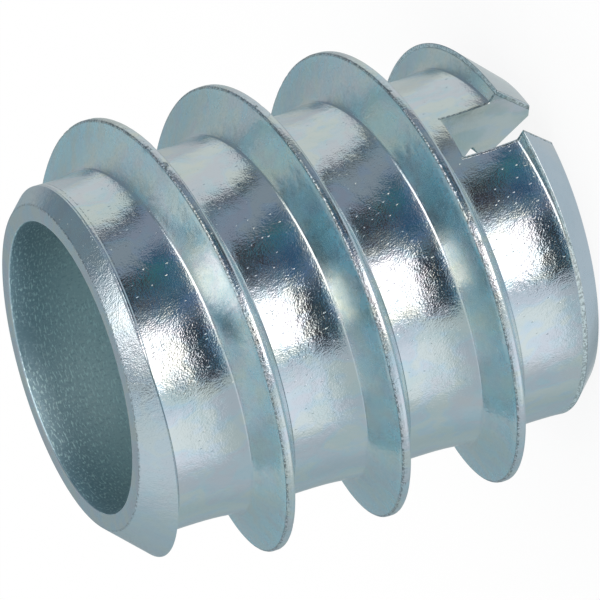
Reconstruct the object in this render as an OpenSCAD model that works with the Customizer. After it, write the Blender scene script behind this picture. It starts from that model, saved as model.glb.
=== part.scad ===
/* [Size] */
// Diameter over the crests of the wood thread
outer_d = 18.5; // [17.5:0.1:20]
// Length from the slotted end to the tip
body_l = 20; // [17:0.5:26]
// Diameter of the smooth body between the turns
body_d = 14.6; // [14.2:0.1:15.4]

/* [Wood thread] */
// Distance from one turn to the next
pitch = 5; // [4:0.1:6.5]
// Width of the narrow land along the crest
crest_w = 0.31; // [0.2:0.01:0.6]
// Slope of the flank that faces the tip, from square to the axis
front_flank_a = 22.5; // [12:0.5:30]
// Slope of the flank that faces the slotted end
rear_flank_a = 23; // [12:0.5:30]
// Radius where a flank runs into the body
root_r = 0.25; // [0.1:0.05:0.5]
// Height of the crest's front edge above the slotted end, on the slot's line
thread_lead = 0.93; // [0:0.01:5]

/* [Ends] */
// Diameter of the flat face at the tip
tip_d = 13.4; // [12.8:0.1:14]
// Slope of the tip's chamfer, from the axis
tip_chamfer_a = 43; // [35:1:55]
// Diameter of the flat face at the slotted end
drive_d = 13.2; // [12.6:0.1:14]
// Slope of the slotted end's chamfer, from the axis
drive_chamfer_a = 43; // [35:1:55]

/* [Bore] */
// Bore that is tapped for the machine screw
tap_d = 8.5; // [8.3:0.05:8.8]
// Wider plain bore that opens at the tip
relief_d = 12; // [10.5:0.1:12.4]
// Depth of the wider bore, down to its shoulder
relief_l = 8; // [5:0.5:11]
// Half angle of the shoulder that the drill leaves
shoulder_a = 60; // [45:1:70]
// Mouth of the tapped bore at the slotted end
mouth_d = 12; // [9:0.1:12.2]
// Broken edge round the bore at the tip
tip_edge = 0.1; // [0.05:0.05:0.3]

/* [Drive slot] */
// Width of the screwdriver slot
slot_w = 2.1; // [1.6:0.1:3]
// Depth of the screwdriver slot
slot_l = 3.95; // [2:0.05:5]

/* [Hidden] */
steel = "#9fb2ba";
$fn = 144;
outer_r = outer_d / 2;
body_r = body_d / 2;
thread_h = outer_r - body_r;
shoulder_l = (relief_d - tap_d) / 2 / tan(shoulder_a);
// the groove's flanks run on a little past the crest before its walls turn straight out
crest_over = 0.15;
groove_out_r = outer_r + 1;
step_a = 6;
arc_steps = 2;
overrun = 0.3;
groove_turns = (body_l + pitch + 2 * overrun) / pitch;
groove_steps = ceil(groove_turns * 360 / step_a);

// Offset along the axis of a flank, at radius r, from its crest edge
function flank_run(r, slope) = (outer_r - r) * tan(slope);

// Arc that blends a flank into the body, as [radius, offset from the crest edge],
// from the flank down to the body
function root_arc(slope) =
    let (corner = flank_run(body_r, slope),
         reach = root_r / tan((90 + slope) / 2))
    [for (i = [0 : arc_steps])
        let (a = 180 + slope + (90 - slope) * i / arc_steps)
        [body_r + root_r + root_r * sin(a), corner + reach + root_r * cos(a)]];

// Groove between two turns, as [radius, height above the lower turn's front crest edge]
function groove_section() =
    let (lower = concat([[groove_out_r, flank_run(outer_r + crest_over, front_flank_a)],
                         [outer_r + crest_over, flank_run(outer_r + crest_over, front_flank_a)]],
                        root_arc(front_flank_a)),
         upper = concat([[groove_out_r, flank_run(outer_r + crest_over, rear_flank_a)],
                         [outer_r + crest_over, flank_run(outer_r + crest_over, rear_flank_a)]],
                        root_arc(rear_flank_a)),
         last = len(upper) - 1)
    concat(lower, [for (i = [last : -1 : 0]) [upper[i][0], pitch - crest_w - upper[i][1]]]);

// Right-hand helical groove that leaves the wood thread standing
module thread_groove() {
    section = groove_section();
    n = len(section);
    first_z = -overrun - pitch;
    first_a = (first_z - thread_lead) / pitch * 360;
    points = [for (i = [0 : groove_steps], p = section)
        let (a = first_a + i * step_a)
        [p[0] * cos(a), p[0] * sin(a), first_z + i * step_a / 360 * pitch + p[1]]];
    sides = [for (i = [0 : groove_steps - 1], j = [0 : n - 1])
        let (k = (j + 1) % n)
        each [[i * n + j, (i + 1) * n + k, i * n + k], [i * n + j, (i + 1) * n + j, (i + 1) * n + k]]];
    // each end is closed by strips between the two facing walls
    strips = [for (j = [0 : n / 2 - 2])
        each [[j, j + 1, n - 1 - j], [j + 1, n - 2 - j, n - 1 - j]]];
    ends = concat(strips, [for (t = strips) [for (j = [2 : -1 : 0]) groove_steps * n + t[j]]]);
    polyhedron(points, concat(sides, ends), convexity = 12);
}

// Turned blank: both chamfers, the tapped bore, its mouth and the relief bore
module blank() {
    drive_l = (outer_r - drive_d / 2) / tan(drive_chamfer_a);
    tip_l = (outer_r - tip_d / 2) / tan(tip_chamfer_a);
    mouth_l = (mouth_d - tap_d) / 2;
    rotate_extrude()
        polygon([[mouth_d / 2, 0], [drive_d / 2, 0], [outer_r, drive_l],
                 [outer_r, body_l - tip_l], [tip_d / 2, body_l],
                 [relief_d / 2 + tip_edge, body_l], [relief_d / 2, body_l - tip_edge],
                 [relief_d / 2, body_l - relief_l], [tap_d / 2, body_l - relief_l - shoulder_l],
                 [tap_d / 2, mouth_l]]);
}

module drive_slot() {
    translate([-outer_r - 1, -slot_w / 2, -1])
        cube([outer_d + 2, slot_w, slot_l + 1]);
}

module insert_body() {
    color(steel)
        difference() {
            blank();
            thread_groove();
            drive_slot();
        }
}

insert_body();
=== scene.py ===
"""A slotted threaded insert for wood, in zinc-plated steel: one turned and threaded piece, and its stage."""

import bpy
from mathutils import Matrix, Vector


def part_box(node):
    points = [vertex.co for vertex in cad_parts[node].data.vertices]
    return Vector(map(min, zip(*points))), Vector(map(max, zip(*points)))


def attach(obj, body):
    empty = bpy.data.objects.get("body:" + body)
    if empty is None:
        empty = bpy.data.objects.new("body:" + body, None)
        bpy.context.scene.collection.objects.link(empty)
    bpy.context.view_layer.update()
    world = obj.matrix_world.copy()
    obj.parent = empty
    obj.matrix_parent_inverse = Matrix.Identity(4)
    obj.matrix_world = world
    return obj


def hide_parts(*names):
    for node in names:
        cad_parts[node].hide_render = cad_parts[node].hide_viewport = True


bl_info = {
    "name": "Slotted insert for wood",
    "version": (1, 0, 0),
    "blender": (4, 5, 0),
    "location": "3D View > Sidebar > Insert",
    "description": "Builds a slotted insert with a wood thread outside and a machine thread inside",
    "category": "Add Mesh",
}

from math import cos, pi, radians, sin, tan

import bpy
import numpy as np
from mathutils import Matrix, Vector

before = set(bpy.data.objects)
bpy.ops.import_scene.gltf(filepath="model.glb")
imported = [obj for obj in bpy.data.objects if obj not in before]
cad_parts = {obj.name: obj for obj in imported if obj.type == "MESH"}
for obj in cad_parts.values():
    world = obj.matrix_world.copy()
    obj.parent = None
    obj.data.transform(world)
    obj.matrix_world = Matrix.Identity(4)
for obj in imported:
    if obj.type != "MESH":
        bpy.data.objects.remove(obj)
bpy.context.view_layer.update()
LOW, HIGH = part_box("insert_body")
MM = 0.001
SLOT_REACH = 12 * MM  # how far the slot's cutter reaches to each side
NICK_SEED = 11
NICK_CHANCE = 0.035  # share of the places on the crest with a deep nick
GRAIN_TWIST = 0.035  # turn of the rolled grain about the axis, in radians for each millimetre of height
SHARP_FROM = radians(32)  # a sharper edge than this shades as an edge
ROOM_RADIUS = 1.3
FLOOR_HALF = 1.5


def length(name, description, mm):
    """A length in millimetres, kept in metres."""
    return bpy.props.FloatProperty(
        name=name, description=description, default=mm * MM, precision=5, unit="LENGTH"
    )


def angle(name, description, degrees):
    """An angle in degrees, kept in radians."""
    return bpy.props.FloatProperty(
        name=name, description=description, default=radians(degrees), unit="ROTATION"
    )


def tint(name, description, red, green, blue):
    """A colour in linear light."""
    return bpy.props.FloatVectorProperty(
        name=name,
        description=description,
        default=(red, green, blue),
        min=0.0,
        max=1.0,
        subtype="COLOR",
    )


def amount(name, description, default):
    """A plain number."""
    return bpy.props.FloatProperty(name=name, description=description, default=default)


class InsertSizes(bpy.types.PropertyGroup):
    """Sizes of the insert, as its drawing gives them."""

    outer_d: length("Outer diameter", "Over the crests of the wood thread", (HIGH.x - LOW.x) / MM)
    body_l: length("Length", "From the slotted end to the tip", (HIGH.z - LOW.z) / MM)
    body_d: length("Body diameter", "Smooth body between the turns", 14.6)
    pitch: length("Wood thread pitch", "From one turn to the next", 5.0)
    crest_w: length("Crest width", "Flat land on top of the wood thread", 0.31)
    front_flank_a: angle("Front flank", "Slope of the flank that faces the tip", 21.7)
    rear_flank_a: angle("Rear flank", "Slope of the flank that faces the slot", 23.2)
    flank_hollow: length("Flank hollow", "Depth of each flank's hollow at its middle", 0.045)
    front_root_r: length("Front root radius", "Fillet at the foot of the front flank", 0.09)
    rear_root_r: length("Rear root radius", "Fillet at the foot of the rear flank", 0.06)
    root_rise: length("Root rise", "How far the body swells before the front flank", 0.12)
    root_rise_l: length("Root rise length", "Length over which the body swells", 1.6)
    rear_rise: length("Rear rise", "How far the body swells before the rear flank", 0.03)
    rear_rise_l: length("Rear rise length", "Length over which it swells there", 1.3)
    front_edge_r: length("Front edge", "Rounding of the crest's edge that faces the tip", 0.11)
    rear_edge_r: length("Rear edge", "Rounding of the crest's edge that faces the slot", 0.12)
    thread_lead: length("Thread start", "Height of the crest's front edge at the slot", 0.93)
    nick_depth: length("Nick depth", "Deepest nick in the crest's edges", 0.05)
    tip_d: length("Tip ring diameter", "Outside of the flat ring at the tip", 13.4)
    tip_chamfer_a: angle("Tip chamfer", "Angle to the axis", 43)
    drive_d: length("Slotted end diameter", "Outside of the flat ring at the slot", 13.2)
    drive_chamfer_a: angle("Slotted end chamfer", "Angle to the axis", 43)
    tap_d: length("Tapping bore", "Diameter inside the machine thread", 8.5)
    thread_d: length("Machine thread diameter", "Over the roots of the inner thread", 10.12)
    thread_pitch: length("Machine thread pitch", "From one turn to the next", 1.5)
    thread_start: length("Machine thread start", "Height of a root at the slot", 2.33)
    relief_d: length("Relief bore", "Diameter of the plain bore at the tip", 12)
    relief_l: length("Relief length", "Depth of the plain bore from the tip", 8)
    shoulder_a: angle("Shoulder", "Angle of the step between the bores to the axis", 60)
    mouth_d: length("Countersink", "Diameter of the countersink at the slotted end", 12)
    slot_w: length("Slot width", "Width of the screwdriver slot", 2.1)
    slot_l: length("Slot depth", "Depth of the screwdriver slot", 3.95)


class ZincFinish(bpy.types.PropertyGroup):
    """Colours and grain of the zinc plating, with painted shade in the tip's bore and a painted dark
    reflection along the crest's front edge.
    """

    zinc: tint("Zinc", "Bright zinc with a pale blue film", 0.655, 0.715, 0.765)
    teal: tint("Teal film", "Where the film is thicker", 0.50, 0.68, 0.745)
    straw: tint("Straw film", "Faint straw and pink clouds", 0.73, 0.72, 0.67)
    flank: tint("Flanks", "Metal of the thread's flanks", 0.74, 0.75, 0.71)
    film: tint("Blue film", "Dull blue film on the thread's flanks", 0.14, 0.48, 0.64)
    bore: tint("Bore", "Dull film inside the bores", 0.66, 0.79, 0.81)
    yellow: tint("Yellow stain", "Faint stain of the passivation", 0.80, 0.76, 0.62)
    pink: tint("Pink stain", "Faint stain of the passivation", 0.74, 0.64, 0.68)
    # Dark ragged line: dirt along worn edges, and on the crest's front edge a painted dark reflection.
    grime_and_dark_reflection: tint("Grime", "Dark line along worn edges", 0.11, 0.13, 0.13)
    end: tint("Slotted end", "Greyer film on the slotted end and its chamfer", 0.70, 0.70, 0.74)
    burr: tint("Burr", "Bare metal along the edge of the slotted end's chamfer", 0.88, 0.93, 0.93)
    # Painted shade: a darker blue just inside the tip's bore, fading out about 3 mm in.
    mouth: tint("Bore mouth", "Deeper film just inside the tip's bore", 0.30, 0.44, 0.52)
    light_speck: tint("Light specks", "Thin places in the dull film", 0.9, 0.95, 0.95)
    dark_speck: tint("Dark specks", "Thick places in the dull film", 0.25, 0.38, 0.44)
    score: tint("Score marks", "Bright marks of the drill in the bores", 0.85, 1.0, 1.0)
    slot: tint("Slot film", "Greenish film on the slot's walls", 0.52, 0.60, 0.56)
    grain: amount("Grain", "Strength of the fine grain under the plating", 1.0)


class StageSettings(bpy.types.PropertyGroup):
    """Camera, light and floor."""

    azimuth: angle("Camera azimuth", "From +X, counterclockwise seen from above", -37.68)
    elevation: angle("Camera elevation", "Above the horizon", 18.495)
    roll: angle("Camera roll", "Clockwise turn of the picture's upright", 106.49)
    distance: length("Camera distance", "From the middle of the insert", 495.1)
    lens: amount("Lens", "Focal length in millimetres", 747.6)
    daylight: amount("Daylight", "Strength of the white room", 1.0)
    wall: tint("Wall", "Grey of the studio walls that show in the gloss", 0.48, 0.57, 0.60)
    shadow: amount("Shadow", "Share of the floor's own shading that shows", 0.12)


# ---- surfaces -------------------------------------------------------------------------------


def rounded(corners, radii, steps=4):
    """A closed polyline with round corners. Each corner gives way to an arc of its radius, whose ends lie
    radius / tan(half the inner angle) from the corner and whose centre lies radius / sin(half the inner
    angle) along the bisector."""
    corners = np.asarray(corners, float)
    radii = np.maximum(np.asarray(radii, float), 1e-9)[:, None]
    back = np.roll(corners, 1, 0) - corners
    ahead = np.roll(corners, -1, 0) - corners
    back /= np.linalg.norm(back, axis=1, keepdims=True)
    ahead /= np.linalg.norm(ahead, axis=1, keepdims=True)
    half = np.arccos(np.clip((back * ahead).sum(1, keepdims=True), -1, 1)) / 2
    turn = np.maximum(pi - 2 * half, 1e-6)
    bisector = back + ahead
    bisector /= np.maximum(np.linalg.norm(bisector, axis=1, keepdims=True), 1e-12)
    centre = corners + bisector * radii / np.sin(half)
    start = corners + back * radii / np.tan(half) - centre
    end = corners + ahead * radii / np.tan(half) - centre
    share = np.linspace(0, 1, steps + 1)[:, None, None]
    arcs = np.sin((1 - share) * turn) * start + np.sin(share * turn) * end
    arcs = centre + arcs / np.sin(turn)
    return arcs.transpose(1, 0, 2).reshape(-1, 2)


def refined(path, step):
    """The same polyline with no piece longer than about step: every corner stays, and points are added
    at equal distances along it."""
    run = np.concatenate([[0], np.cumsum(np.linalg.norm(np.diff(path, axis=0), axis=1))])
    keep = np.concatenate([[True], np.diff(run) > 1e-7])
    path, run = path[keep], run[keep]
    gaps = np.diff(run)
    parts = np.maximum(np.ceil(gaps / step).astype(int), 1)
    piece = np.repeat(np.arange(len(gaps)), parts)
    inside = np.arange(parts.sum()) - np.repeat(np.cumsum(parts) - parts, parts)
    stations = np.append(run[piece] + gaps[piece] * inside / parts[piece], run[-1])
    return np.stack([np.interp(stations, run, path[:, k]) for k in (0, 1)], 1)


def add_piece(name, points, faces):
    """A mesh object from an array of points and a list of face index arrays."""
    mesh = bpy.data.meshes.new(name)
    mesh.from_pydata(points.reshape(-1, 3).tolist(), [], [row for part in faces for row in part.tolist()])
    mesh.validate()
    made = bpy.data.objects.new(name, mesh)
    bpy.context.scene.collection.objects.link(made)
    return made


def quads(a, b, c, d):
    """Four-sided faces from four arrays of corner indices."""
    return np.stack([a.ravel(), b.ravel(), c.ravel(), d.ravel()], 1)


def turned(name, path, columns):
    """A ring-shaped solid: the closed path of (radius, height) points is carried round the axis,
    x = radius cos(turn), y = radius sin(turn), z = height."""
    turn = np.linspace(0, 2 * pi, columns, endpoint=False)[:, None]
    radius, height = path[:, 0], path[:, 1]
    points = np.stack([radius * np.cos(turn), radius * np.sin(turn), height + 0 * turn], 2)
    index = np.arange(columns * len(path)).reshape(columns, len(path))
    right = np.roll(index, -1, 0)
    up = np.roll(index, -1, 1)
    return add_piece(name, points, [quads(index, right, np.roll(right, -1, 1), up)])


def threaded(name, heights, radii, pitch, lowest, turns, columns, wear=None):
    """A rod with one helical ridge, closed at both ends: the profile of one pitch is repeated up the rod
    and rises by one pitch per turn, x = radius cos(turn), y = radius sin(turn),
    z = lowest + height + pitch * (repeat + turn / 2 pi). Each end is a fan to a point on the axis."""
    rows = len(heights) * turns
    repeat = np.repeat(np.arange(turns), len(heights))
    height = np.tile(heights, turns) + lowest + pitch * repeat
    radius = np.tile(radii, turns)[None, :] + np.zeros((columns, 1))
    share = np.arange(columns)[:, None] / columns
    height = height[None, :] + pitch * share
    if wear is not None:
        radius = radius - wear(radius, repeat[None, :] + share)
    turn = 2 * pi * share
    points = np.stack([radius * np.cos(turn), radius * np.sin(turn), height], 2).reshape(-1, 3)
    index = np.arange(columns * rows).reshape(columns, rows)
    one = len(heights)
    wall = quads(index[:-1, :-1], index[1:, :-1], index[1:, 1:], index[:-1, 1:])
    seam = quads(
        index[-1, : rows - 1 - one], index[0, one:-1], index[0, one + 1 :], index[-1, 1 : rows - one]
    )
    foot = np.concatenate([index[:, 0], index[0, one:0:-1]])
    head = np.concatenate([index[::-1, -1], index[-1, rows - 1 - one : rows - 1]])
    ends = np.array([[0, 0, height.min()], [0, 0, height.max()]])
    points = np.concatenate([points, ends])
    fans = []
    for loop, tip in ((foot, len(points) - 2), (head, len(points) - 1)):
        fans.append(np.stack([np.roll(loop, -1), loop, np.full(len(loop), tip)], 1))
    return add_piece(name, points, [wall, seam, *fans])


def bar(name, path, reach):
    """A straight bar along X from -reach to reach with the closed (y, z) path as its section."""
    count = len(path)
    points = np.concatenate([np.column_stack([np.full(count, x), path]) for x in (-reach, reach)])
    near = np.arange(count)
    far = near + count
    sides = quads(near, np.roll(near, -1), np.roll(far, -1), far)
    return add_piece(name, points, [sides, far[None, :], near[None, ::-1]])


def combined(body, tool, operation):
    """The body after the tool is cut from it, or after only what both share is kept."""
    change = body.modifiers.new("change", "BOOLEAN")
    change.object = tool
    change.operation = operation
    change.solver = "MANIFOLD"
    ready = body.evaluated_get(bpy.context.evaluated_depsgraph_get())
    mesh = bpy.data.meshes.new_from_object(ready)
    body.modifiers.clear()
    old, spent = body.data, tool.data
    body.data = mesh
    bpy.data.objects.remove(tool)
    bpy.data.meshes.remove(old)
    bpy.data.meshes.remove(spent)
    if not len(mesh.vertices):
        raise RuntimeError(f"{body.name} vanished in the {operation.lower()} step")
    return body


def wood_thread(size):
    """The rod with the wood thread. One pitch of its outline runs from mid root over the rear flank, the
    crest and the front flank to mid root. Each flank is hollow by hollow * sin(pi * share of its height),
    and the root rises towards each flank's foot by rise * (1 - distance / rise length) squared."""
    crest_r, body_r = size.outer_d / 2, size.body_d / 2
    rise = crest_r - body_r
    front = rise * tan(size.front_flank_a)
    rear = rise * tan(size.rear_flank_a)
    start = -size.crest_w - rear - 0.9 * MM
    corners = [
        (start, body_r),
        (-size.crest_w - rear, body_r),
        (-size.crest_w, crest_r),
        (0, crest_r),
        (front, body_r),
        (start + size.pitch, body_r),
        (start + size.pitch, body_r - 3 * MM),
        (start, body_r - 3 * MM),
    ]
    radii = [0, size.rear_root_r, size.rear_edge_r, size.front_edge_r, size.front_root_r, 0, 0, 0]
    steps = 5
    path = rounded(corners, radii, steps)[steps : 5 * (steps + 1) + 1]
    path = refined(path, 0.36 * MM)[:-1]
    height, radius = path[:, 0], path[:, 1]
    up = np.clip((radius - body_r) / rise, 0, 1)
    side = np.where(height > 0, -1.0, 1.0)
    near = np.clip(1 - (height - front) / size.root_rise_l, 0, 1)
    gap = np.where(height > 0, size.pitch, 0) - size.crest_w - rear - height
    behind = np.clip(1 - gap / size.rear_rise_l, 0, 1)
    rises = size.root_rise * near**2 * (height > 0) + size.rear_rise * behind**2
    radius = radius + rises * (1 - up)
    height = height + side * size.flank_hollow * np.sin(pi * up)

    dice = np.random.default_rng(NICK_SEED)
    turns = 6
    count = 360
    soft = dice.normal(size=turns * count * 2)
    soft = np.convolve(soft, [0.2, 0.6, 1.0, 0.6, 0.2], "same") * 0.2
    deep = (dice.random(turns * count * 2) > 1 - NICK_CHANCE) * dice.random(turns * count * 2)

    def wear(local_radius, place):
        """Nicks: only the rows at the crest's edges lose radius, by a seeded amount for each place."""
        at = np.round(place * count).astype(int)
        edge = np.clip((local_radius - crest_r + 0.12 * MM) / (0.1 * MM), 0, 1)
        return edge * size.nick_depth * (0.1 + 0.2 * np.abs(soft[at]) + deep[at])

    return threaded(
        "wood_thread", height, radius, size.pitch, size.thread_lead - size.pitch, turns, count, wear
    )


def blank(size):
    """The turned blank without threads: its outline is carried round the axis."""
    top = size.body_l
    over = size.outer_d / 2 + 0.4 * MM
    bore_r, relief_r, mouth_r = size.tap_d / 2, size.relief_d / 2, size.mouth_d / 2
    drive_r, tip_r = size.drive_d / 2, size.tip_d / 2
    shoulder = (relief_r - bore_r) / tan(size.shoulder_a)
    lip = 0.06 * MM
    corners = [
        (mouth_r, 0),
        (drive_r, 0),
        (over, (over - drive_r) / tan(size.drive_chamfer_a)),
        (over, top - (over - tip_r) / tan(size.tip_chamfer_a)),
        (tip_r, top),
        (relief_r, top),
        (relief_r, top - size.relief_l),
        (bore_r, top - size.relief_l - shoulder),
        (bore_r, mouth_r - bore_r),
    ]
    radii = [lip, 1.5 * lip, 0, 0, 2 * lip, 1.2 * lip, 2 * lip, 2 * lip, lip]
    path = rounded(corners, radii, 3)
    path = refined(np.concatenate([path, path[:1]]), 1.2 * MM)[:-1]
    return turned("insert", path, 360)


def machine_thread(size):
    """The tap that cuts the inner thread: a rod just inside the bore with one sharp 60 degree ridge."""
    root_r, core_r = size.thread_d / 2, size.tap_d / 2 - 0.06 * MM
    flat = 0.05 * MM
    slope = (root_r - core_r) * tan(radians(30))
    corners = [
        (-size.thread_pitch / 2, core_r),
        (-slope - flat, core_r),
        (-flat, root_r),
        (flat, root_r),
        (slope + flat, core_r),
    ]
    path = refined(np.array(corners + [(size.thread_pitch / 2, core_r)]), 0.32 * MM)[:-1]
    turns = 10
    lowest = size.thread_start - 3 * size.thread_pitch
    return threaded("tap", path[:, 0], path[:, 1], size.thread_pitch, lowest, turns, 200)


def slot_cutter(size):
    """The milling cutter's path: a bar as wide as the slot, with slightly round corners at the floor."""
    half, deep = size.slot_w / 2, size.slot_l
    corners = [(-half, -2 * MM), (half, -2 * MM), (half, deep), (-half, deep)]
    path = rounded(corners, [0, 0, 0.08 * MM, 0.08 * MM], 3)
    keep = np.linalg.norm(path - np.roll(path, 1, 0), axis=1) > 1e-7
    return bar("slot", path[keep], SLOT_REACH)


# ---- materials ------------------------------------------------------------------------------


class Value:
    """A socket that carries numbers and takes part in plain arithmetic; each operator adds a Math node."""

    def __init__(self, shader, socket):
        self.shader = shader
        self.socket = socket

    def __add__(self, other):
        return self.shader.math("ADD", self, other)

    __radd__ = __add__

    def __mul__(self, other):
        return self.shader.math("MULTIPLY", self, other)

    __rmul__ = __mul__

    def __sub__(self, other):
        return self.shader.math("SUBTRACT", self, other)

    def __rsub__(self, other):
        return self.shader.math("SUBTRACT", other, self)

    def __truediv__(self, other):
        return self.shader.math("DIVIDE", self, other)

    def __rtruediv__(self, other):
        return self.shader.math("DIVIDE", other, self)

    def __mod__(self, other):
        return self.shader.math("FLOORED_MODULO", self, other)

    def __pow__(self, other):
        return self.shader.math("POWER", self, other)

    def __abs__(self):
        return self.shader.math("ABSOLUTE", self)

    def step(self, low, high):
        """0 below low, 1 above high, smooth between."""
        made = self.shader.node(
            "ShaderNodeMapRange",
            {"interpolation_type": "SMOOTHSTEP"},
            {"Value": self, "From Min": low, "From Max": high},
        )
        return Value(self.shader, made.outputs[0])

    def band(self, centre, half, soft):
        """1 within half of centre, 0 further out, smooth over soft."""
        return 1 - abs(self - centre).step(half, half + soft)


class Shader:
    """The nodes of one material."""

    def __init__(self, name):
        self.material = bpy.data.materials.new(name)
        self.material.use_nodes = True
        self.tree = self.material.node_tree
        self.tree.nodes.clear()

    def node(self, kind, settings=None, sockets=None):
        """Any node: its settings are set first, then each named or numbered socket gets its value or link."""
        made = self.tree.nodes.new(kind)
        for key, value in (settings or {}).items():
            setattr(made, key, value)
        for key, value in (sockets or {}).items():
            value = value.socket if isinstance(value, Value) else value
            if isinstance(value, bpy.types.NodeSocket):
                self.tree.links.new(value, made.inputs[key])
            else:
                made.inputs[key].default_value = value
        return made

    def math(self, operation, *values):
        """A Math node on one, two or three values."""
        made = self.node("ShaderNodeMath", {"operation": operation}, dict(enumerate(values)))
        return Value(self, made.outputs[0])

    def mix(self, share, first, second):
        """A colour between two colours."""
        colours = [(*c, 1) if isinstance(c, (tuple, list)) else c for c in (first, second)]
        made = self.node(
            "ShaderNodeMix", {"data_type": "RGBA"}, {0: share, 6: colours[0], 7: colours[1]}
        )
        return made.outputs[2]

    def place(self, scale=(1, 1, 1), twist=0.0):
        """Object coordinates in millimetres, stretched by a scale for each axis, after a turn about the
        axis by twist radians for each millimetre of height."""
        here = self.node("ShaderNodeTexCoord").outputs["Object"]
        factor = [s / MM for s in scale]
        if twist:
            height = Value(self, self.node("ShaderNodeSeparateXYZ", None, {0: here}).outputs[2])
            sockets = {"Vector": here, "Angle": height * (twist / MM)}
            here = self.node("ShaderNodeVectorRotate", {"rotation_type": "Z_AXIS"}, sockets).outputs[0]
        made = self.node("ShaderNodeVectorMath", {"operation": "MULTIPLY"}, {0: here, 1: factor})
        return made.outputs[0]

    def joined(self, x, y, z):
        """A vector from three values."""
        return self.node("ShaderNodeCombineXYZ", None, {0: x, 1: y, 2: z}).outputs[0]

    def noise(self, vector, scale, detail=2.0, roughness=0.5):
        """Soft noise from 0 to 1."""
        sockets = {"Vector": vector, "Scale": scale, "Detail": detail, "Roughness": roughness}
        return Value(self, self.node("ShaderNodeTexNoise", None, sockets).outputs[0])

    def finish(self, surface):
        """Ends the material with this surface."""
        self.node("ShaderNodeOutputMaterial", None, {"Surface": surface})
        return self.material


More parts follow.
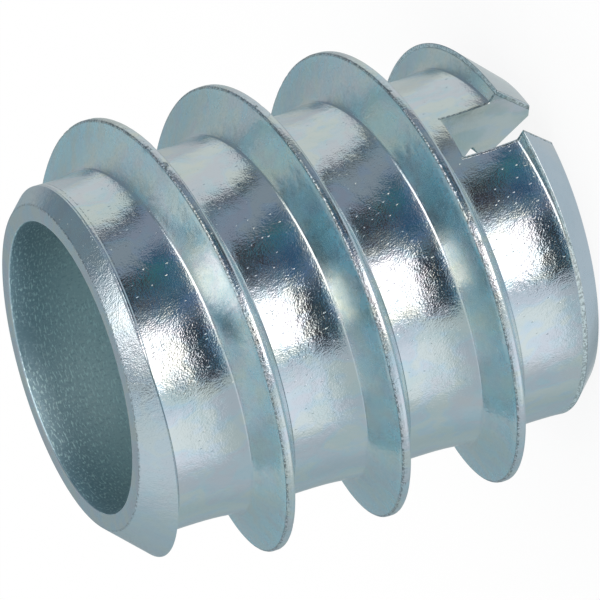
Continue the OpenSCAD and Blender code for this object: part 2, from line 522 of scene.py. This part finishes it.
def zinc_plate(size, finish):
    """Bright zinc plate over turned and rolled steel. Which film, grain and gloss a place has follows from
    its radius, its height and how far up the thread's helix it lies."""
    shader = Shader("zinc_plate")
    here = shader.place()
    parts = shader.node("ShaderNodeSeparateXYZ", None, {0: here})
    x, y, z = (Value(shader, parts.outputs[k]) for k in range(3))
    radius = (x * x + y * y) ** 0.5
    turn = shader.math("ARCTAN2", y, x)
    body_r = size.body_d / 2 / MM
    crest_r = size.outer_d / 2 / MM
    relief_r = size.relief_d / 2 / MM
    top = size.body_l / MM
    pitch = size.pitch / MM

    # Places, each 1 where it holds and 0 elsewhere. Lengths are in millimetres: along is the height above
    # the crest's front edge, and above_cone and above_end are heights above the two chamfers.
    along = (z - size.thread_lead / MM - turn * (pitch / (2 * pi))) % pitch
    slope = 1 / tan(size.tip_chamfer_a)
    above_cone = z + (radius - size.tip_d / 2 / MM) * slope - top
    chamfer = above_cone.step(-0.05, -0.03)
    outer = radius.step(body_r - 0.15, body_r - 0.05)
    rim = above_cone.band(-0.14, 0.02, 0.07) * outer
    groove = above_cone.band(-0.27, 0.01, 0.03) * outer
    ring = radius.band(size.tip_d / 2 / MM, 0.02, 0.04) * z.step(top - 0.1, top - 0.05)
    above_end = z - (radius - size.drive_d / 2 / MM) / tan(size.drive_chamfer_a)
    tail = 1 - above_end.step(0.02, 0.05)
    burr = above_end.band(0.14, 0.08, 0.06)
    crest = radius.step(crest_r - 0.12, crest_r - 0.06)
    edge = radius.band(crest_r - 0.06, 0.03, 0.03) * (1 - ((along + 0.15) % pitch).step(0.35, 0.45))
    flank = radius.step(body_r + 0.12, body_r + 0.3) * (1 - crest) * (1 - chamfer) * (1 - tail)
    rear = flank * along.step(3.2, 3.5) * radius.step(body_r + 0.9, body_r + 1.4)
    low = 1 - z.step(size.slot_l / MM + 0.02, size.slot_l / MM + 0.05)
    wall = abs(y) - size.slot_w / 2 / MM
    slot = (1 - wall.step(0.003, 0.02)) * low
    lip = wall.band(0.07, 0.02, 0.04) * (1 - z.step(size.slot_l / MM + 0.05, size.slot_l / MM + 0.08))
    bore = (1 - radius.step(relief_r + 0.005, relief_r + 0.05)) * (1 - slot)
    body = (1 - flank) * (1 - bore) * (1 - slot)
    plain = (1 - chamfer * 0.5) * (1 - tail)

    # Colour: each film, stain and dirt line, the painted shade in the tip's bore and the painted dark
    # reflection on the crest's front edge lie over those before them, by their share.
    cloud = shader.noise(here, 0.45, 3)
    wisp = shader.noise(shader.place((1, 1, 0.6)), 0.9, 4, 0.6)
    speck = shader.noise(shader.place((1, 1, 0.6)), 11.0, 1)
    stain = shader.noise(shader.place((1, 1, 0.8)), 0.6, 3, 0.5)
    ragged = shader.noise(here, 9.0, 3, 0.65)
    marks = shader.noise(shader.joined(turn * 30, z * 13, radius * 13), 1.0, 2)
    dull = flank * 0.2 + bore * 0.3
    colour = tuple(finish.zinc)
    for part, over in (
        (wisp.step(0.45, 0.75) * 0.45 * plain, finish.teal),
        (cloud.step(0.52, 0.72) * 0.5 * plain, finish.straw),
        (flank * 0.8, finish.flank),
        (stain.band(0.58, 0.03, 0.06) * plain * 0.35, finish.yellow),
        (stain.band(0.42, 0.02, 0.06) * plain * 0.35, finish.pink),
        (tail * 0.6, finish.end),
        (burr, finish.burr),
        (bore, finish.bore),
        # Painted shade: darker blue inside the tip's bore, full at its mouth and gone about 3 mm in.
        (bore * z.step(top - 3.0, top - 0.3) * 0.75, finish.mouth),
        (dull * speck.step(0.58, 0.68), finish.light_speck),
        (dull * (1 - speck.step(0.32, 0.42)), finish.dark_speck),
        (bore * marks.step(0.54, 0.64) * cloud.step(0.3, 0.5) * 0.9, finish.score),
        (slot * wisp.step(0.42, 0.62) * 0.5, finish.slot),
        # Painted dark reflection: a dark ragged line on the crest's front edge, where the rounded edge would
        # reflect the studio's dark zones.
        (edge * ragged.step(0.47, 0.55) * 0.7, finish.grime_and_dark_reflection),
        ((groove + ring + burr) * ragged.step(0.44, 0.56) * 0.5, finish.grime_and_dark_reflection),
        (lip * ragged.step(0.43, 0.53) * 0.75, finish.grime_and_dark_reflection),
    ):
        colour = shader.mix(part, colour, tuple(over))

    # Relief in millimetres: grit and rolled grain, slow waves, dots, ragged edges and tool marks.
    fine = shader.noise(shader.place((1, 1, 0.75), GRAIN_TWIST), 17.0, 2)
    grain = shader.noise(shader.place((1, 1, 0.5), GRAIN_TWIST), 5.0, 1)
    swell = shader.noise(here, 1.9, 2)
    cells = shader.node(
        "ShaderNodeTexVoronoi", None, {"Vector": shader.place((1, 1, 0.35), GRAIN_TWIST), "Scale": 7.5}
    )
    chosen = Value(shader, shader.node("ShaderNodeSeparateXYZ", None, {0: cells.outputs["Color"]}).outputs[0])
    dots = (1 - Value(shader, cells.outputs["Distance"]).step(0.0, 0.2)) * chosen.step(0.4, 0.9)
    lines = shader.noise(shader.joined(radius * 9, z * 9, turn * 2.5), 1.0, 2)
    cut = shader.noise(shader.joined(x * 1.5, z * 8, y), 1.0, 3)
    height = (
        fine * (0.005 * body + 0.002 + 0.007 * chamfer + 0.02 * burr) * (0.4 + 1.2 * cloud)
        + grain * (0.0035 + 0.006 * chamfer)
        + swell * 0.010
        + dots * (0.009 * body + 0.004)
        + ragged * (crest * 0.005 + edge * 0.035 + lip * 0.03)
        + lines * bore * 0.004
        + cut * slot * 0.003
        + rim * 0.012
        + burr * 0.02
    )
    sockets = {"Height": height * finish.grain, "Distance": MM, "Strength": 1.0}
    bump = shader.node("ShaderNodeBump", None, sockets).outputs[0]

    rough = 0.05 + flank * 0.10 + rear * 0.28 + bore * 0.33 + slot * 0.2
    rough = rough + crest * 0.06 + chamfer * 0.03 + burr * 0.4
    skin = shader.node(
        "ShaderNodeBsdfPrincipled",
        None,
        {"Base Color": colour, "Metallic": 1.0, "Roughness": rough, "Normal": bump},
    )
    film = shader.node(
        "ShaderNodeBsdfPrincipled",
        None,
        {"Base Color": (*finish.film, 1), "Metallic": 0.0, "Roughness": 0.6, "Normal": bump},
    )
    mottle = shader.noise(shader.place((1, 1, 0.6)), 1.2, 3, 0.6)
    # A dull film lies over the metal, thickest on the flanks.
    share = flank * (0.12 + 0.16 * mottle.step(0.4, 0.6) + 0.10 * radius.step(body_r, crest_r)) + rear * 0.2
    share = share + body * wisp.step(0.45, 0.6) * 0.05
    both = shader.node("ShaderNodeMixShader", None, {0: share, 1: skin.outputs[0], 2: film.outputs[0]})
    return shader.finish(both.outputs[0])


def white_floor(share):
    """A matt white floor that shows as white to the eye and in gloss, and keeps part of its shadow."""
    shader = Shader("white_floor")
    ray = shader.node("ShaderNodeLightPath")
    seen = Value(shader, ray.outputs["Is Camera Ray"])
    for kind in ("Is Glossy Ray", "Is Transmission Ray"):
        seen = shader.math("MAXIMUM", seen, Value(shader, ray.outputs[kind]))
    matt = shader.node("ShaderNodeBsdfDiffuse", None, {"Color": (1, 1, 1, 1)})
    glow = shader.node("ShaderNodeEmission", None, {"Color": (1, 1, 1, 1), "Strength": 1.0})
    both = shader.node(
        "ShaderNodeMixShader", None, {0: seen * (1 - share), 1: matt.outputs[0], 2: glow.outputs[0]}
    )
    return shader.finish(both.outputs[0])


# ---- operators ------------------------------------------------------------------------------


class INSERT_OT_body(bpy.types.Operator):
    """Make the turned, threaded, tapped and slotted insert"""

    bl_idname = "insert.make_body"
    bl_label = "Insert"

    def execute(self, context):
        size = context.scene.insert_sizes
        body = blank(size)
        combined(body, wood_thread(size), "INTERSECT")
        combined(body, machine_thread(size), "DIFFERENCE")
        combined(body, slot_cutter(size), "DIFFERENCE")
        mesh = body.data
        mesh.shade_smooth()
        mesh.set_sharp_from_angle(angle=SHARP_FROM)
        mesh.materials.clear()
        mesh.materials.append(zinc_plate(size, context.scene.insert_finish))
        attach(body, "root")
        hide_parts("insert_body")
        return {"FINISHED"}


def direction(azimuth, elevation):
    """The unit vector at an azimuth from +X and an elevation above the horizon."""
    return Vector((cos(azimuth) * cos(elevation), sin(azimuth) * cos(elevation), sin(elevation)))


LEAN_FROM = -18.5
AREAS = (
    # name, azimuth from the stage's, elevation, half width, half height, softness of each and lean, all
    # in degrees; colour, and how bright it is
    ("right_wall", 140, 20, 55, 70, 30, 30, 0, (0.46, 0.505, 0.52), 1.0),
    ("left_back", -150, -8, 26, 34, 20, 20, 0, (0.37, 0.47, 0.50), 1.0),
    ("back_wall", 180, -8, 22, 40, 16, 16, 0, (0.32, 0.39, 0.42), 1.0),
    ("high_wall", -80, 50, 45, 16, 16, 16, 0, (0.65, 0.74, 0.77), 1.0),
    ("high_back", 165, 66, 40, 10, 16, 10, 0, (0.62, 0.70, 0.74), 1.0),
    ("floor_glow", 0, -80, 180, 30, 12, 12, 0, (0.52, 0.62, 0.67), 1.0),
    ("low_pale", 142, -38, 46, 20, 12, 12, 0, (0.57, 0.62, 0.62), 1.0),
    ("left_glow", -66, -34, 23, 20, 16, 12, 0, (0.86, 0.95, 1.0), 1.0),
    ("left_gap", -38, -32, 7, 18, 5, 8, 0, (0.68, 0.79, 0.85), 1.0),
    ("top_box", -10, 53, 38, 8, 6, 6, 0, (0.98, 1.02, 1.02), 1.0),
    ("front_box", 23, 42, 31, 36, 22, 16, 0, (1.0, 0.98, 0.95), 2.0),
    ("high_front", 25, 69, 17, 7, 5, 6, 0, (1.0, 1.0, 0.98), 1.8),
    ("high_right", 55, 67, 11, 7, 5, 5, 0, (0.95, 0.97, 0.97), 1.0),
    ("high_left", -34, 73, 34, 13, 8, 8, 0, (0.53, 0.62, 0.67), 1.0),
    ("high_gap", -26, 70, 16, 12, 6, 5, 0, (0.10, 0.13, 0.16), 1.0),
    ("side_dark", 107, 27, 41, 36, 10, 12, 0, (0.19, 0.25, 0.29), 1.0),
    ("front_dark", 27, -6, 60, 10, 4, 8, 0, None, 1.0),
    ("grey_strip", 61, -18, 14, 22, 3, 5, 0.5, (0.26, 0.32, 0.385), 1.0),
    ("pale_wall", 108, -21, 26, 14, 6, 7, 0.75, (0.665, 0.73, 0.73), 1.0),
    ("dark_strip", 79, -18, 4, 14, 4, 5, 0.75, (0.07, 0.09, 0.11), 1.0),
    ("low_grey", 32, -33, 20, 8, 6, 6, 0.75, (0.30, 0.38, 0.43), 1.0),
    ("brown_dark", 28, -22, 19, 6, 5, 5, 0.5, (0.12, 0.105, 0.115), 0.4),
    ("slate_patch", 25, -15, 3.5, 5, 3, 3, 0.75, (0.15, 0.19, 0.27), 1.0),
    ("navy", 30, -11, 20, 5, 6, 5, 0.75, (0.08, 0.22, 0.38), 0.45),
    ("teal_patch", 37, -12, 4, 5, 3, 3, 0.75, (0.05, 0.19, 0.22), 1.0),
    ("front_black", -14, -9, 19, 6, 6, 6, 0, (0.045, 0.05, 0.06), 0.7),
    ("key_edge", 3, -27, 14, 10, 10, 8, 0, (0.50, 0.56, 0.60), 1.0),
    ("key_box", -9.5, -26.5, 17, 9.8, 4, 4.5, 0, (1.0, 0.96, 0.93), 2.6),
)


def studio(stage):
    """The room that shows in gloss. Each area lies round a direction, and its strength falls from 1 to 0
    over its softness at a half width in azimuth and a half height in elevation; later areas cover earlier.
    A leaning area moves sideways by lean degrees for each degree above LEAN_FROM.
    An area without a colour shows the dark, mottled clutter of the room."""
    shader = Shader("studio")
    parts = shader.node("ShaderNodeSeparateXYZ", None, {0: shader.place()})
    x, y, z = (Value(shader, parts.outputs[k]) for k in range(3))
    turn = shader.math("ARCTAN2", y, x) * (180 / pi) - stage.azimuth * (180 / pi)
    climb = shader.math("ARCTAN2", z, (x * x + y * y) ** 0.5) * (180 / pi)
    far = shader.place((MM, MM, MM))
    first = shader.noise(far, 3.6, 2, 0.6)
    second = shader.noise(far, 5.5, 3, 0.6)
    third = shader.noise(far, 10.0, 3, 0.6)
    clutter = shader.mix(first.step(0.44, 0.54), (0.12, 0.105, 0.11), (0.08, 0.20, 0.38))
    clutter = shader.mix(second.step(0.54, 0.62), clutter, (0.08, 0.28, 0.34))
    clutter = shader.mix(1 - second.step(0.38, 0.44), clutter, (0.24, 0.31, 0.42))
    clutter = shader.mix(third.step(0.53, 0.60) * 0.7, clutter, (0.26, 0.36, 0.48))
    clutter = shader.mix((1 - third.step(0.40, 0.46)) * 0.8, clutter, (0.05, 0.07, 0.09))
    tone = tuple(stage.wall)
    for name, azimuth, elevation, wide, high, soft_x, soft_y, lean, colour, strength in AREAS:
        aside = abs((turn - azimuth - (climb - LEAN_FROM) * lean + 180) % 360 - 180)
        aslant = abs(climb - elevation)
        share = 1 - aside.step(wide - soft_x / 2, wide + soft_x / 2)
        share = share * (1 - aslant.step(high - soft_y / 2, high + soft_y / 2))
        paint = tuple(strength * c for c in colour) if colour else clutter
        tone = shader.mix(share, tone, paint)
    glow = shader.node("ShaderNodeEmission", None, {"Color": tone, "Strength": 1.0})
    return shader.finish(glow.outputs[0])


def glossy_only(stand_in):
    """Marks an object as stage that shows in gloss alone."""
    stand_in.visible_camera = False
    stand_in.visible_diffuse = False
    stand_in.visible_shadow = False


def ball(name, radius):
    """A ball round the stage: x, y, z from two angles, closed by a fan at each pole."""
    turns = np.linspace(0, 2 * pi, 48, endpoint=False)
    turn, climb = np.meshgrid(turns, np.radians(np.arange(-85, 86, 10)), indexing="ij")
    level = np.cos(climb)
    points = radius * np.stack([np.cos(turn) * level, np.sin(turn) * level, np.sin(climb)], 2)
    index = np.arange(turn.size).reshape(turn.shape)
    right = np.roll(index, -1, 0)
    wall = quads(index[:, :-1], right[:, :-1], right[:, 1:], index[:, 1:])
    return add_piece(name, points, [wall, index[None, :, 0], index[None, ::-1, -1]])


class INSERT_OT_stage(bpy.types.Operator):
    """Make the camera, the white room, the studio that shows in gloss and the floor"""

    bl_idname = "insert.make_stage"
    bl_label = "Stage"

    def execute(self, context):
        scene = context.scene
        stage = scene.insert_stage
        middle = Vector((0, 0, (LOW.z + HIGH.z) / 2))

        data = bpy.data.cameras.new("camera")
        data.lens = stage.lens
        data.sensor_width = 36
        data.clip_end = 20
        camera = bpy.data.objects.new("camera", data)
        back = direction(stage.azimuth, stage.elevation)
        turn = back.to_track_quat("Z", "Y").to_matrix() @ Matrix.Rotation(-stage.roll, 3, "Z")
        camera.matrix_world = Matrix.Translation(middle + back * stage.distance) @ turn.to_4x4()
        scene.collection.objects.link(camera)
        scene.camera = camera

        world = bpy.data.worlds.new("white_room")
        scene.world = world
        world.use_nodes = True
        world.node_tree.nodes["Background"].inputs["Color"].default_value = (1, 1, 1, 1)
        world.node_tree.nodes["Background"].inputs["Strength"].default_value = stage.daylight

        corners = FLOOR_HALF * np.array([[-1, -1, 0], [1, -1, 0], [1, 1, 0], [-1, 1, 0]])
        floor = add_piece("floor", corners - [0, 0, 0.01 * MM], [np.array([[0, 1, 2, 3]])])
        floor.data.materials.append(white_floor(stage.shadow))
        floor.visible_glossy = False

        room = ball("studio", ROOM_RADIUS)
        room.data.materials.append(studio(stage))
        glossy_only(room)

        scene.view_settings.view_transform = "Standard"
        return {"FINISHED"}


class INSERT_PT_panel(bpy.types.Panel):
    """The insert's pieces and settings"""

    bl_idname = "INSERT_PT_panel"
    bl_label = "Insert"
    bl_space_type = "VIEW_3D"
    bl_region_type = "UI"
    bl_category = "Insert"

    def draw(self, context):
        for operator in (INSERT_OT_body, INSERT_OT_stage):
            self.layout.operator(operator.bl_idname)
        for name in ("insert_sizes", "insert_finish", "insert_stage"):
            group = getattr(context.scene, name)
            box = self.layout.box()
            for key in group.bl_rna.properties.keys():
                if key not in ("rna_type", "name"):
                    box.prop(group, key)


GROUPS = {"insert_sizes": InsertSizes, "insert_finish": ZincFinish, "insert_stage": StageSettings}
CLASSES = (*GROUPS.values(), INSERT_OT_body, INSERT_OT_stage, INSERT_PT_panel)


def register():
    for each in CLASSES:
        bpy.utils.register_class(each)
    for name, group in GROUPS.items():
        setattr(bpy.types.Scene, name, bpy.props.PointerProperty(type=group))


def unregister():
    for name in GROUPS:
        delattr(bpy.types.Scene, name)
    for each in reversed(CLASSES):
        bpy.utils.unregister_class(each)


def main():
    register()
    bpy.ops.insert.make_body()
    bpy.ops.insert.make_stage()


if __name__ == "__main__":
    main()
